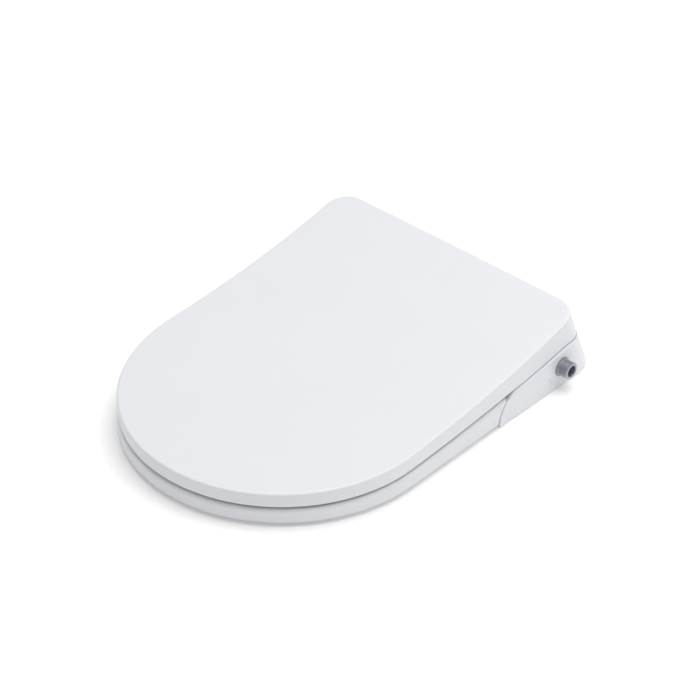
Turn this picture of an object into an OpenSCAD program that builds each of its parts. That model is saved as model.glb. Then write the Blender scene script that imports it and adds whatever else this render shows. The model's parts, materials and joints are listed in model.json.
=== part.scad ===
// Electric bidet seat: a flat D-shaped lid over a heated seat ring, hinged on a housing that holds
// the water heater, the nozzle unit, the warm-air dryer and the controls.
// Origin: the middle of the two mounting slots, on the plane of the bowl's rim.
// +X towards the water inlet, +Y to the rear, +Z up. The nose of the seat is at -Y.

/* [Outline] */
// Radius of the half-round nose of the lid, which is half of its greatest width
nose_r = 190; // [185:1:195]
// Distance from the mounting slots forward to the centre of the nose
arc_ahead = 248; // [244:1:252]
// Half of the lid's width at its rear edge
lid_rear_half_w = 186.4; // [184:0.2:188]
// How far the seat ring stands out beyond the lid's outline
seat_proud = 1.1; // [0.5:0.1:2]
// Half of the housing's width
housing_half_w = 189.6; // [189:0.1:191]

/* [Lid] */
// Height of the lid's lower edge at the nose
lid_low_front = 26; // [25:0.5:28]
// Height of the lid's lower edge at the rear
lid_low_rear = 53; // [52:0.5:54]
// Wall of the lid
lid_wall = 3.2; // [2.8:0.1:3.6]
// Lean of the lid's rear face, as run over rise
lid_rear_slope = 0.405; // [0.38:0.005:0.43]

/* [Seat ring] */
// Height of the ring's underside above the bowl
seat_low = 4.5; // [4:0.5:6]
// Dark gap between the ring's top and the lid's lower edge
lid_gap = 3; // [2.5:0.5:3.5]
// Wall of the ring's two shells
seat_wall = 2.6; // [2.2:0.1:3]
// Half of the width of the opening
hole_half_w = 105; // [98:1:110]

/* [Housing] */
// Wall of the housing
wall = 2.6; // [2.4:0.1:3]
// Radius of the cheeks' curved front
cheek_r = 35; // [34:0.5:36]
// Lean of the housing's rear face, as run over rise
rear_slope = 0.437; // [0.42:0.005:0.45]
// Distance from the mounting slots back to the foot of the rear face
rear_foot = 85.3; // [84:0.1:88]

/* [Hinge] */
// Distance of the hinge axis behind the mounting slots
hinge_y = 44; // [43.5:0.1:44.5]
// Height of the hinge axis
hinge_z = 63; // [62.8:0.1:63.4]
// Radius of the two hinge shafts
shaft_r = 4; // [3:0.5:4.5]
// Radial running clearance of every turning or sliding fit
run_gap = 0.05; // [0.03:0.01:0.09]

/* [Mounting] */
// Distance between the centres of the two mounting slots
bolt_spacing = 150; // [140:1:160]
// Half of the width of a mounting slot
slot_r = 4.5; // [4:0.25:5]
// Length of a mounting slot from end to end
slot_len = 50; // [40:1:54]

/* [Washing unit] */
// Downward tilt of the nozzles
nozzle_tilt = 15; // [14:0.5:16]
// Radius of a nozzle
nozzle_r = 5.5; // [5:0.25:5.5]
// Teeth of each nozzle's drive pinion
pinion_teeth = 14; // [14:1:14]

/* [Water inlet] */
// Outer radius of the inlet's half-inch pipe thread
thread_r = 10.48; // [10.48:0.01:10.48]
// Radius of the inlet's bore
inlet_bore_r = 7; // [6:0.25:7.5]

/* [Hidden] */

// Far beyond the object on every side, for the blocks that only cut
far = 700;
// Thin overlap that lets one cut break through a face
eps = 0.5;
// Steps along each computed curve
steps = 24;
fine = 96;

// --- heights along the object -------------------------------------------------------------------
nose_y = -arc_ahead - nose_r;
lid_length = 520;
lid_front_y = -405;
lid_low_span = 462;
lid_low_power = 2.9;
// Height of the lid's top at its front, then its straight, square and cubic rise to the rear
lid_rise = [43.6, 6.4, 11.6, 53.5];

// Top of the lid: almost level at the nose, swept up to the rear
function lid_top(y) = let (s = (y - lid_front_y) / lid_length)
    lid_rise[0] + lid_rise[1] * s + lid_rise[2] * pow(s, 2) + lid_rise[3] * pow(s, 3);

// Lower edge of the lid
function lid_low(y) = let (s = max(0, y - nose_y) / lid_low_span)
    min(lid_low_rear, lid_low_front + (lid_low_rear - lid_low_front) * pow(s, lid_low_power));

// Points of a height function between two distances
function run(y0, y1, n = steps) = [for (i = [0 : n]) y0 + (y1 - y0) * i / n];

// Arc in the side view, from angle a0 to a1
function arc(cy, cz, r, a0, a1, n = 10) =
    [for (i = [0 : n]) let (a = a0 + (a1 - a0) * i / n) [cy + r * cos(a), cz + r * sin(a)]];

// --- shared cutting shapes ----------------------------------------------------------------------
lid_rear_y = 60.4;
lid_rear_foot = lid_rear_y + lid_low_rear * lid_rear_slope;
lid_corner_r = 30;
housing_corner_r = 36;

// Distance behind the mounting slots at which the lid's sides reach their rear half width
side_end = 100;

// Half width of the lid's nearly straight sides
function side_half_w(y) = nose_r + (lid_rear_half_w - nose_r) * (y + arc_ahead) / (side_end + arc_ahead);

// Half-round nose and nearly straight sides, grown outwards
module plan(grow = 0) {
    translate([0, -arc_ahead]) circle(r = nose_r + grow, $fn = fine);
    polygon([
        [-nose_r - grow, -arc_ahead], [nose_r + grow, -arc_ahead],
        [lid_rear_half_w + grow, side_end], [-lid_rear_half_w - grow, side_end]
    ]);
}

// Side-view outline carried across the width, from x0 to x1
module across(x0, x1) rotate([90, 0, 90]) translate([0, 0, x0]) linear_extrude(x1 - x0) children();

// Leaning block that gives the rear face its slope and rounds the rear corners
module rear_cut(foot, slope, corner_r, half_w, inset = 0) {
    lean = atan(slope);
    r = corner_r - inset;
    w = half_w - inset;
    back = foot * cos(lean) - inset;
    rotate([lean, 0, 0]) translate([0, 0, -far / 2]) linear_extrude(far) {
        translate([-w, -far]) square([2 * w, far + back - r]);
        translate([-w + r, -far]) square([2 * (w - r), far + back]);
        for (side = [-1, 1]) translate([side * (w - r), back - r]) circle(r = r, $fn = fine);
    }
}

// Round bar along X
module bar(x0, x1, y, z, r) translate([x0, y, z]) rotate([0, 90, 0]) cylinder(h = x1 - x0, r = r, $fn = 48);

// Block given by its lowest and highest corners
module block(low, high) translate(low) cube(high - low);

// Same shape on both sides
module both_sides() {
    children();
    mirror([1, 0, 0]) children();
}

// --- hinge stations along X, the same on both sides ---------------------------------------------
hinge_lug_r = 7.5;
inner_tower = [58, 68];
seat_lug = [69, 87];
lid_lug = [88, 100];
outer_tower = [101, 111];
damper_span = [34, 57.5];
seat_arm = [69, 99];
channel = [68.5, 100.5];
trough_r = 20.5;
trough_half_w = 186.9;
// Half width and radius of the trough: shallower towards the sides, where the lid's corners sweep less
trough_steps = [[174, trough_r], [180, 17.5], [trough_half_w, 14.5]];

module trough(grow) for (s = trough_steps) intersection() {
    bar(-far, far, hinge_y, hinge_z, s[1] + grow);
    block([-s[0] - grow, -far, -far], [s[0] + grow, far, far]);
}

module hinge_bore(x0, x1, r = shaft_r + run_gap) bar(x0 - eps, x1 + eps, hinge_y, hinge_z, r);

// --- lid ----------------------------------------------------------------------------------------
lid_boss_r = 8;
bumper_gap = 0.3;
bumper_h = 4;
lid_bumper_places = [[-112, -330], [112, -330], [-140, -170], [140, -170]];

// Distance behind the mounting slots at which the leaning corners take over from the straight sides
corner_start = 0;

// Rounded rear corners that lean with the lid's rear face
module rear_corners(inset) rear_cut(lid_rear_foot, lid_rear_slope, lid_corner_r, side_half_w(corner_start), inset);

module lid_shell() {
    color("white") difference() {
        union() {
            difference() {
                lid_form(0);
                lid_form(lid_wall);
            }
            intersection() {
                lid_ribs_and_lugs();
                lid_form(0);
            }
        }
        for (x = lid_lug_places()) hinge_bore(x[0], x[1], x[2]);
    }
}

// Bores of the lid's lugs: the shaft is pressed into the one on the inlet's side and turns in the other
function lid_lug_places() = [[lid_lug[0], lid_lug[1], shaft_r], [-lid_lug[1], -lid_lug[0], shaft_r + run_gap]];

// Solid form of the lid: an inset one is the cavity, which is open below
module lid_form(inset) {
    bottom = inset > 0 ? [[70, 0], [nose_y - 5, 0]]
        : concat([[70, lid_low_rear]], [for (y = run(60, nose_y - 5)) [y, lid_low(y)]]);
    intersection() {
        translate([0, 0, -10]) linear_extrude(120) plan(-inset);
        across(-far, far) polygon(concat([for (y = run(nose_y - 5, 70)) [y, lid_top(y) - inset]], bottom));
        union() {
            block([-far, -far, -far], [far, corner_start, far]);
            rear_corners(inset);
        }
    }
}

module lid_ribs_and_lugs() {
    rib = 2.4;
    rib_h = 6;
    lug_front = 9;
    both_sides() {
        bar(lid_lug[0], lid_lug[1], hinge_y, hinge_z, hinge_lug_r);
        block([lid_lug[0], hinge_y - lug_front + 3, hinge_z], [lid_lug[1], hinge_y + 5, 100]);
    }
    for (p = lid_bumper_places)
        translate([p[0], p[1], seat_top_z(p[1]) + bumper_gap + bumper_h])
            cylinder(h = 40, r = lid_boss_r, $fn = 48);
    for (x = [-120, -60, 60, 120])
        across(x - rib / 2, x + rib / 2) polygon(concat(
            [for (y = run(-380, -90)) [y, lid_top(y)]],
            [for (y = run(-90, -380)) [y, lid_top(y) - lid_wall - rib_h]]
        ));
}

module lid_bumpers() {
    color("gainsboro") for (p = lid_bumper_places)
        translate([p[0], p[1], seat_top_z(p[1] + lid_boss_r) + bumper_gap])
            cylinder(h = bumper_h - seat_top_z(p[1] + lid_boss_r) + seat_top_z(p[1]), r = 6, $fn = 48);
}

module lid_shaft() color("silver") bar(36, 110, hinge_y, hinge_z, shaft_r);
module seat_shaft() color("silver") bar(-110, -36, hinge_y, hinge_z, shaft_r);

// Rotary soft-close damper: a barrel with a keyed end that is held by the inner tower
damper_r = 7.2;
module damper() {
    difference() {
        union() {
            bar(damper_span[0], damper_span[1], hinge_y, hinge_z, damper_r);
            block([damper_span[0] + 3, hinge_y - 15, hinge_z - 5], [damper_span[1] - 3, hinge_y - 3, hinge_z + 5]);
        }
        hinge_bore(damper_span[0] + 1.5, damper_span[1]);
    }
}
module lid_damper() color("dimgray") damper();
module seat_damper() color("dimgray") mirror([1, 0, 0]) damper();

// --- seat ring ----------------------------------------------------------------------------------
cheek_cy = -61;
cheek_cz = 4;
seat_end_r = cheek_r + 3;
seat_split = seat_low + seat_wall;
arch_half_w = 66;
arch_top = 22;
nozzle_arch_half_w = 30;
nozzle_arch_top = 27.5;
arm_low = [[-92, 22.5], [25, 50.8], [30, 55.5]];
arm_high = [[30, 67], [-92, 34.4]];

function seat_top_z(y) = lid_low(y) - lid_gap;

module seat_hole(grow = 0) {
    front_r = hole_half_w + grow;
    front_y = -267;
    rear_y = -118 + grow;
    corner = 62 + grow;
    translate([0, 0, -eps * 4]) linear_extrude(80) {
        translate([0, front_y]) circle(r = front_r, $fn = fine);
        translate([-front_r, front_y]) square([2 * front_r, rear_y - corner - front_y]);
        translate([-front_r + corner, front_y]) square([2 * (front_r - corner), rear_y - front_y]);
        for (side = [-1, 1])
            translate([side * (front_r - corner), rear_y - corner]) circle(r = corner, $fn = fine);
    }
}

module seat_block(inset) {
    end_r = seat_end_r + inset;
    low = seat_low + inset;
    top_end = -88 - inset;
    difference() {
        intersection() {
            translate([0, 0, -10]) linear_extrude(120) plan(seat_proud - inset);
            across(-far, far) polygon(concat(
                [[nose_y - 5, low]],
                arc(cheek_cy, cheek_cz, end_r, 180 - asin((low - cheek_cz) / end_r), 180 - 48),
                [for (y = run(top_end, nose_y - 5)) [y, seat_top_z(y) - inset]]
            ));
        }
        seat_hole(inset);
        for (arch = [[arch_half_w, arch_top], [nozzle_arch_half_w, nozzle_arch_top]])
            block([-arch[0] - inset, -130, -1], [arch[0] + inset, -50, arch[1] + inset]);
    }
}

module seat_arms() {
    both_sides() {
        across(seat_arm[0], seat_arm[1]) polygon(concat(arm_low, arm_high));
        across(seat_lug[0], seat_lug[1]) polygon([
            arm_low[2], [hinge_y, hinge_z - hinge_lug_r + 1],
            [hinge_y, hinge_z + hinge_lug_r - 1], arm_high[0]
        ]);
        bar(seat_lug[0], seat_lug[1], hinge_y, hinge_z, hinge_lug_r);
    }
}

module seat_top() {
    color("white") difference() {
        union() {
            intersection() {
                difference() {
                    seat_block(0);
                    seat_block(seat_wall);
                }
                block([-far, -far, seat_split], [far, far, far]);
            }
            seat_arms();
        }
        hinge_bore(seat_lug[0], seat_lug[1], shaft_r + run_gap);
        hinge_bore(-seat_lug[1], -seat_lug[0], shaft_r);
    }
}

module seat_bottom() {
    color("whitesmoke") intersection() {
        difference() {
            seat_block(0);
            seat_block(seat_wall);
        }
        block([-far, -far, 0], [far, far, seat_split]);
    }
}

// Thin foil under the roof of the ring
module seat_heater() {
    foil = 0.6;
    edge = 9;
    under = seat_wall + 0.3;
    color("goldenrod") difference() {
        intersection() {
            translate([0, 0, -10]) linear_extrude(120) plan(seat_proud - edge);
            across(-far, far) polygon(concat(
                [for (y = run(-430, -132)) [y, seat_top_z(y) - under - foil]],
                [for (y = run(-132, -430)) [y, seat_top_z(y) - under]]
            ));
        }
        seat_hole(edge);
    }
}

seat_bumper_places = [[-120, -345], [120, -345], [-150, -160], [150, -160]];
module seat_bumpers() {
    color("gainsboro") for (p = seat_bumper_places) translate([p[0], p[1], 0]) {
        cylinder(h = seat_low, r = 8, $fn = 48);
    }
}

// --- housing ------------------------------------------------------------------------------------
ledge = 2;
deck_half_w = 179.5;
deck_drop = 8;
deck_end = 36;
lid_clear = 3;

// The outer skin stands on the bowl plane; a cavity runs on through it
function foot(inset) = inset > 0 ? -1 : 0;

// Side view of the cheeks: a curved front, then a top edge just under the lid
function cheek_outline(inset) = concat(
    [[rear_foot + 20, foot(inset)], [cheek_cy - cheek_r + inset, foot(inset)]],
    arc(cheek_cy, cheek_cz, cheek_r - inset, 180, 90),
    [for (y = run(cheek_cy + 2, 30)) [y, lid_low(y) - ledge - inset]],
    [[rear_foot + 20, lid_low_rear - ledge - inset]]
);

// Side view of the raised deck that fills the space under the lid
function deck_outline(inset) = concat(
    [[deck_end, foot(inset)], [cheek_cy - cheek_r + inset, foot(inset)]],
    arc(cheek_cy, cheek_cz, cheek_r - inset, 180, 112),
    [for (y = run(cheek_cy + inset, deck_end)) [y, lid_top(y) - deck_drop - inset]]
);

module channels(extra) both_sides() across(channel[0] - extra, channel[1] + extra) polygon([
    [-105, arm_low[0][1] - 6 - extra], [30, arm_low[1][1] - 3.5 - extra],
    [hinge_y + 6, arm_low[1][1] - 3.5 - extra], [hinge_y + 6, 110], [-105, 110]
]);

module housing_block(inset) {
    difference() {
        union() {
            intersection() {
                across(-far, far) polygon(cheek_outline(inset));
                rear_cut(rear_foot, rear_slope, housing_corner_r, housing_half_w, inset);
            }
            intersection() {
                across(-deck_half_w + inset, deck_half_w - inset) polygon(deck_outline(inset));
                rear_corners(lid_wall + lid_clear + inset);
            }
        }
        trough(inset);
        channels(inset);
    }
}

module hinge_towers() {
    both_sides() for (t = [inner_tower, outer_tower]) {
        bar(t[0], t[1], hinge_y, hinge_z, hinge_lug_r);
        block([t[0], hinge_y - trough_r - 3, hinge_z - hinge_lug_r], [t[1], hinge_y, hinge_z + hinge_lug_r]);
    }
}

// Strip that follows the curved front of the housing between two heights
module front_strip(z0, z1, thick) intersection() {
    difference() {
        polygon(cheek_outline(0));
        polygon(cheek_outline(thick));
    }
    translate([-120, z0]) square([40, z1 - z0]);
}

inlet_y = 13;
inlet_z = 28;
inlet_hole_r = 11.9;
button_z = 24;
button_r = 6;
stop_y = 8;
rear_wash_y = -12;
front_wash_y = -32;
panel_span = [-46, 22];
panel_h = 9;
release_y = 35;
release_z = 14;
gland_x = -144;
gland_z = 15;
gland_r = 6;
notch_half_w = 9.5;
notch_top = 10.5;
mark_x = housing_half_w;
mark_end = [[-10.2, 21.9], [-4.1, 13.5]];
mark_r = 0.8;

// Rounded slot shape in the side view, between two points
module slot_2d(p, q, r) {
    length = norm(q - p);
    translate(p) rotate(atan2(q[1] - p[1], q[0] - p[0])) {
        circle(r = r, $fn = 32);
        translate([length, 0]) circle(r = r, $fn = 32);
        translate([0, -r]) square([length, 2 * r]);
    }
}

module panel_2d(grow) slot_2d([panel_span[0] + panel_h, button_z], [panel_span[1] - panel_h, button_z], panel_h + grow);
module release_2d(grow) slot_2d([release_y - 4, release_z], [release_y + 4, release_z], 6 + grow);

// The front of the housing is open for the nozzles and for the dryer's air
nozzle_window = [[-27, -110, 2], [27, -70, 29]];
dryer_window = [[-61, -110, 8], [-39, -80, 20]];
sensor_place = [40, -56];
sensor_r = 6;
light_span = [30, 60];

module housing_cover() {
    color("white") difference() {
        union() {
            difference() {
                housing_block(0);
                housing_block(wall);
            }
            hinge_towers();
            inlet_boss();
            screw_bosses();
        }
        both_sides() {
            hinge_bore(inner_tower[0], inner_tower[1]);
            hinge_bore(outer_tower[0], outer_tower[1]);
        }
        bar(170, 200, inlet_y, inlet_z, inlet_hole_r);
        across(mark_x - mark_r, mark_x + 5) slot_2d(mark_end[0], mark_end[1], mark_r);
        across(-200, -180) panel_2d(0);
        across(-200, -180) release_2d(0.3);
        block(nozzle_window[0], nozzle_window[1]);
        block(dryer_window[0], dryer_window[1]);
        translate([sensor_place[0], sensor_place[1], 40]) cylinder(h = 40, r = sensor_r, $fn = 48);
        block([light_span[0], -110, 8], [light_span[1], -80, 13]);
        gland_notch(0.15);
    }
}

// Thickened ring around the inlet's hole
module inlet_boss() bar(housing_half_w - 6, housing_half_w - wall + eps, inlet_y, inlet_z, 16);

screw_places = [[-172, -60], [172, -60], [-160, 52], [160, 52], [-118, -72], [118, -72]];
screw_r = 2;
module screw_bosses() intersection() {
    housing_block(0);
    for (p = screw_places) translate([p[0], p[1], 6]) difference() {
        cylinder(h = 90, r = 4.5, $fn = 32);
        translate([0, 0, -eps]) cylinder(h = 12, r = screw_r, $fn = 32);
    }
}

// --- base plate and mounting --------------------------------------------------------------------
floor_t = 3;
pan_inset = wall + 0.2;
recess = [112, 30, 18];
plate_t = 5;
plate_half = [104, 24];

module base_plate() {
    color("lightgray") difference() {
        union() {
            intersection() {
                across(-far, far) polygon(cheek_outline(pan_inset));
                rear_cut(rear_foot, rear_slope, housing_corner_r, housing_half_w, pan_inset);
                difference() {
                    block([-far, -far, 0], [far, far, 5.5]);
                    intersection() {
                        block([-far, -far, floor_t], [far, far, 20]);
                        across(-far, far) polygon(cheek_outline(pan_inset + 2));
                        rear_cut(rear_foot, rear_slope, housing_corner_r, housing_half_w, pan_inset + 2);
                    }
                }
            }
            block([-recess[0] - 2.4, -recess[1] - 2.4, 0], [recess[0] + 2.4, recess[1] + 2.4, recess[2] + 2.4]);
        }
        block([-recess[0], -recess[1], -1], [recess[0], recess[1], recess[2]]);
        for (p = screw_places) translate([p[0], p[1], -1]) {
            cylinder(h = 10, r = screw_r + 0.3, $fn = 32);
            cylinder(h = 2.8, r = 4, $fn = 32);
        }
        for (p = pad_places) translate([p[0], p[1], -1]) cylinder(h = 2.5, r = 8, $fn = 48);
    }
}

// Plate that stays bolted to the bowl; its raised rails guide the housing on
module mounting_plate() {
    color("gainsboro") difference() {
        union() {
            block([-plate_half[0], -plate_half[1], 0], [plate_half[0], plate_half[1], plate_t]);
            for (side = [-1, 1]) {
                y = side * (plate_half[1] - 2);
                block([-plate_half[0], y - 2, 0], [plate_half[0], y + 2, 11]);
            }
        }
        both_sides() translate([bolt_spacing / 2, 0, -1]) linear_extrude(plate_t + 2)
            slot_2d([-slot_len / 2 + slot_r, 0], [slot_len / 2 - slot_r, 0], slot_r);
        translate([0, 0, -1]) cylinder(h = plate_t + 2, r = 12, $fn = 48);
    }
}

pad_places = [[-165, -78], [165, -78], [-165, 30], [165, 30], [0, 62]];
module base_pads() color("dimgray") for (p = pad_places) translate([p[0], p[1], 0]) cylinder(h = 1.5, r = 7.8, $fn = 48);

module base_screws() color("silver") for (p = screw_places) translate([p[0], p[1], 0]) difference() {
    union() {
        translate([0, 0, 0.2]) cylinder(h = 1.6, r = 3.6, $fn = 32);
        translate([0, 0, 1]) cylinder(h = 15, r = screw_r - run_gap, $fn = 32);
    }
    for (turn = [0, 90]) rotate(turn) translate([-2, -0.45, 0]) cube([4, 0.9, 1]);
}

// Push-in catch that frees the housing from its mounting plate
module release_button() {
    travel_room = 6;
    color("white") {
        across(-housing_half_w - 1, -housing_half_w + 9) release_2d(0);
        block([-housing_half_w + 8, release_y - 4, release_z - 4], [-150, release_y + 4, release_z + 4]);
        block([-152, 20, release_z - 4], [-146, release_y + 4, release_z + 4]);
        block([-152, 20, release_z - 4], [-recess[0] - 2.4 - travel_room, 26, release_z + 2]);
    }
}

// --- water path ---------------------------------------------------------------------------------
inlet_start = 168;
inlet_end = 204;
inlet_bore_start = 183;
inlet_flange_r = 15;
inlet_collar_r = 11.75;
module water_inlet() {
    color("gray") difference() {
        union() {
            bar(inlet_start, inlet_end, inlet_y, inlet_z, thread_r);
            bar(178, housing_half_w - 6, inlet_y, inlet_z, inlet_flange_r);
            bar(housing_half_w, housing_half_w + 1, inlet_y, inlet_z, inlet_collar_r);
        }
        bar(inlet_bore_start, inlet_end + 1, inlet_y, inlet_z, inlet_bore_r);
        bar(160, 190, inlet_y, inlet_z, 4);
    }
}

module inlet_seal() color("black") difference() {
    bar(housing_half_w - 2.2, housing_half_w - 0.2, inlet_y, inlet_z, 11.7);
    bar(housing_half_w - 5, housing_half_w + 2, inlet_y, inlet_z, thread_r);
}

// Small strainer cup at the bottom of the inlet's bore
module inlet_filter() color("silver") difference() {
    union() {
        bar(inlet_bore_start, 189, inlet_y, inlet_z, 5.5);
        bar(inlet_bore_start, 184.2, inlet_y, inlet_z, inlet_bore_r);
    }
    bar(180, 188.2, inlet_y, inlet_z, 4.7);
    for (a = [0 : 45 : 315]) translate([186.4, inlet_y, inlet_z]) rotate([a, 0, 0]) translate([0, 0, 3])
        cylinder(h = 5, r = 0.9, $fn = 16);
}

module solenoid_valve() {
    color("ivory") {
        block([139, 2, 18], [inlet_start, 24, 38]);
        translate([153.5, inlet_y, 38]) cylinder(h = 14, r = 9, $fn = 48);
        translate([153.5, inlet_y, 52]) cylinder(h = 4, r = 4, $fn = 32);
    }
}

module flow_sensor() color("slategray") {
    bar(132, 139, inlet_y, inlet_z, 5);
    bar(133, 138, inlet_y, inlet_z, 9);
}

// Hose with one right-angle bend in plan, at height z
module elbow_hose(from_x, to_x, from_y, to_y, z, r, bend) {
    bar(min(from_x, to_x + bend), max(from_x, to_x + bend), from_y, z, r);
    translate([to_x + bend, from_y - bend, z]) rotate([0, 0, 90]) rotate_extrude(angle = 90, $fn = 48)
        translate([bend, 0]) circle(r = r, $fn = 32);
    translate([to_x, to_y, z]) rotate([-90, 0, 0]) cylinder(h = from_y - bend - to_y, r = r, $fn = 32);
}

module feed_hose() color("lightblue") elbow_hose(132, 122, inlet_y, 0, inlet_z, 3, 6);

tank = [[117, -58, 8], [163, -4, 40]];
tank_wall = 2.5;
module heater_tank() {
    color("beige") difference() {
        union() {
            block(tank[0], tank[1]);
            translate([122, -5, inlet_z]) rotate([-90, 0, 0]) cylinder(h = 5, r = 4, $fn = 32);
            bar(110, 118, -44, 14, 4);
            tank_ports() cylinder(h = 5.1, r = 4, $fn = 32);
        }
        block(tank[0] + [1, 1, 1] * tank_wall, tank[1] + [-tank_wall, -tank_wall, 1]);
    }
}
module tank_ports() for (p = [[123, -52], [157, -10]]) translate([p[0], p[1], 3]) children();

module tank_cover() color("beige") {
    block([tank[0][0], tank[0][1], tank[1][2]], [tank[1][0], tank[1][1], tank[1][2] + 3]);
    translate([150, -20, tank[1][2] + 3]) cylinder(h = 4, r = 5, $fn = 32);
}

// Two looped tubular elements that hang from the tank's cover by their terminals
module heater_element() {
    rod = 2.5;
    loop_r = 7;
    loop_z = 24;
    loop_y = [-42, -18];
    color("orangered") for (x = [131, 149]) {
        for (side = [-1, 1]) {
            translate([x + side * loop_r, loop_y[0], loop_z]) rotate([-90, 0, 0])
                cylinder(h = loop_y[1] - loop_y[0], r = rod, $fn = 24);
            translate([x + side * loop_r - 3, -33, loop_z - 3]) cube([6, 6, tank[1][2] - loop_z + 3]);
        }
        translate([x, loop_y[0], loop_z]) rotate([0, 0, 180]) rotate_extrude(angle = 180, $fn = 48)
            translate([loop_r, 0]) circle(r = rod, $fn = 24);
        translate([x, loop_y[1], loop_z]) rotate_extrude(angle = 180, $fn = 48)
            translate([loop_r, 0]) circle(r = rod, $fn = 24);
    }
}

module warm_hose() color("lightblue") bar(62, 110, -44, 14, 3);

module diverter_valve() color("ivory") {
    block([40, -56, 5], [60, -34, 26]);
    bar(60, 62, -44, 14, 4);
    bar(34, 40, -50, 18, 2.5);
    bar(34, 40, -40, 18, 2.5);
}
module diverter_motor() color("silver") translate([50, -45, 26]) {
    cylinder(h = 16, r = 10, $fn = 48);
    translate([-3, -12, 2]) cube([6, 24, 3]);
}

module air_pump() color("dimgray") {
    translate([50, -8, 24]) cylinder(h = 24, r = 12, $fn = 48);
    block([41, -17, 48], [59, 1, 58]);
    translate([50, -8, 58]) cylinder(h = 4, r = 2.5, $fn = 32);
}

// --- nozzles: a frame that leans down to the front, with local +Y running back along the nozzles --
tip_y = -107;
tip_z = 11;
nozzle_x = 9;
nozzle_len = 134;
tip_len = 14;
gear_module = 1;
rack_pitch_z = 9;
rack_span = [60, 132];
pinion_at = 66;
pinion_r = gear_module * pinion_teeth / 2;
pinion_w = 5;
backlash = 0.24;

module nozzle_frame() translate([0, tip_y, tip_z]) rotate([nozzle_tilt, 0, 0]) children();
module along_nozzle(x, y0, y1, r) translate([x, y0, 0]) rotate([-90, 0, 0]) cylinder(h = y1 - y0, r = r, $fn = 48);

// Rack with 20 degree flanks, centred so that a gap faces the pinion's lowest tooth
module rack_2d() {
    pitch = PI * gear_module;
    half = pitch / 4 - backlash / 2;
    lean = tan(20) * gear_module;
    first = ceil((rack_span[0] - pinion_at) / pitch);
    last = floor((rack_span[1] - pinion_at) / pitch) - 1;
    translate([rack_span[0], 4]) square([rack_span[1] - rack_span[0], rack_pitch_z - 1.25 - 4]);
    for (i = [first : last]) translate([pinion_at + (i + 0.5) * pitch, rack_pitch_z]) polygon([
        [-half - lean * 1.3, -1.3], [half + lean * 1.3, -1.3], [half - lean, 1], [-half + lean, 1]
    ]);
}

module nozzle(x) nozzle_frame() {
    along_nozzle(x, tip_len, nozzle_len, nozzle_r);
    across(x - 2, x + 2) rack_2d();
}

module nozzle_tip(x, holes) nozzle_frame() difference() {
    union() {
        along_nozzle(x, 1.5, tip_len, nozzle_r);
        along_nozzle(x, 0, 1.5, nozzle_r - 1);
    }
    for (i = [0 : holes - 1]) translate([x, 6 + 1.6 * (i % 3), 3])
        translate([(floor(i / 3) - 0.5) * 1.8, 0, 0]) cylinder(h = 4, r = 0.45, $fn = 16);
}

module rear_nozzle() color("whitesmoke") nozzle(-nozzle_x);
module front_nozzle() color("whitesmoke") nozzle(nozzle_x);
module rear_nozzle_tip() color("silver") nozzle_tip(-nozzle_x, 3);
module front_nozzle_tip() color("silver") nozzle_tip(nozzle_x, 6);

// Cradle with a round guide at its front end
module nozzle_carrier() {
    color("gainsboro") difference() {
        union() {
            nozzle_frame() {
                block([-18, 16, -8], [18, nozzle_len, 1.5]);
                block([-18, 16, -8], [18, 34, 8]);
            }
            block([-18, -86, floor_t], [18, -76, 14]);
            block([-18, -60, floor_t], [18, -50, 20]);
        }
        nozzle_frame() for (x = [-nozzle_x, nozzle_x]) {
            along_nozzle(x, 0, 200, nozzle_r + run_gap);
            block([x - 2.3, 0, 0], [x + 2.3, 200, 20]);
        }
    }
}

module nozzle_shield() {
    color("white") difference() {
        across(-26, 26) polygon(concat(
            [[-86, 5.7], [-97, 5.7], [-97, 3], [-108, 3]],
            arc(-100, 11, 11, 215, 120, 6),
            [[-90, 25], [-87, 28.8], [-83, 28.8]]
        ));
        nozzle_frame() for (x = [-nozzle_x, nozzle_x]) along_nozzle(x, -20, 40, nozzle_r + 0.6);
        nozzle_frame() block([-19, 15, -20], [19, 50, 11]);
        nozzle_frame() for (x = [-nozzle_x, nozzle_x]) block([x - 2.4, -20, 0], [x + 2.4, 40, 10.6]);
    }
}

// Straight-sided gear tooth that stays inside the true involute by the backlash
module pinion(x) {
    tooth = 360 / pinion_teeth;
    root = pinion_r - 1.25 * gear_module;
    tip = pinion_r + gear_module;
    half_root = 1.0;
    half_pitch = gear_module * PI / 4 - backlash / 2;
    half_tip = 0.26;
    nozzle_frame() translate([x - pinion_w / 2, pinion_at, rack_pitch_z + pinion_r]) rotate([90, 0, 90]) {
        linear_extrude(pinion_w) {
            circle(r = root, $fn = 48);
            for (i = [0 : pinion_teeth - 1]) rotate(-90 + i * tooth) polygon([
                [root - 0.5, -half_root], [pinion_r, -half_pitch], [tip - 0.1, -half_tip],
                [tip - 0.1, half_tip], [pinion_r, half_pitch], [root - 0.5, half_root]
            ]);
        }
        side = x > 0 ? pinion_w : -9;
        translate([0, 0, side]) cylinder(h = 9, r = 2, $fn = 32);
    }
}
module rear_pinion() color("white") pinion(-nozzle_x);
module front_pinion() color("white") pinion(nozzle_x);

// Small stepper that drives a pinion
module nozzle_motor() nozzle_frame() translate([0, pinion_at, rack_pitch_z + pinion_r]) difference() {
    union() {
        bar(14, 31, 0, 0, 12);
        bar(13, 14, 0, 0, 4.5);
    }
    bar(12, 21, 0, 0, 2 + run_gap);
}
module front_nozzle_motor() color("silver") nozzle_motor();
module rear_nozzle_motor() color("silver") mirror([1, 0, 0]) nozzle_motor();

// --- warm-air dryer -----------------------------------------------------------------------------
fan_y = -15;
fan_z = 43;
fan_x = [-62, -36];
fan_r = 19;

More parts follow.
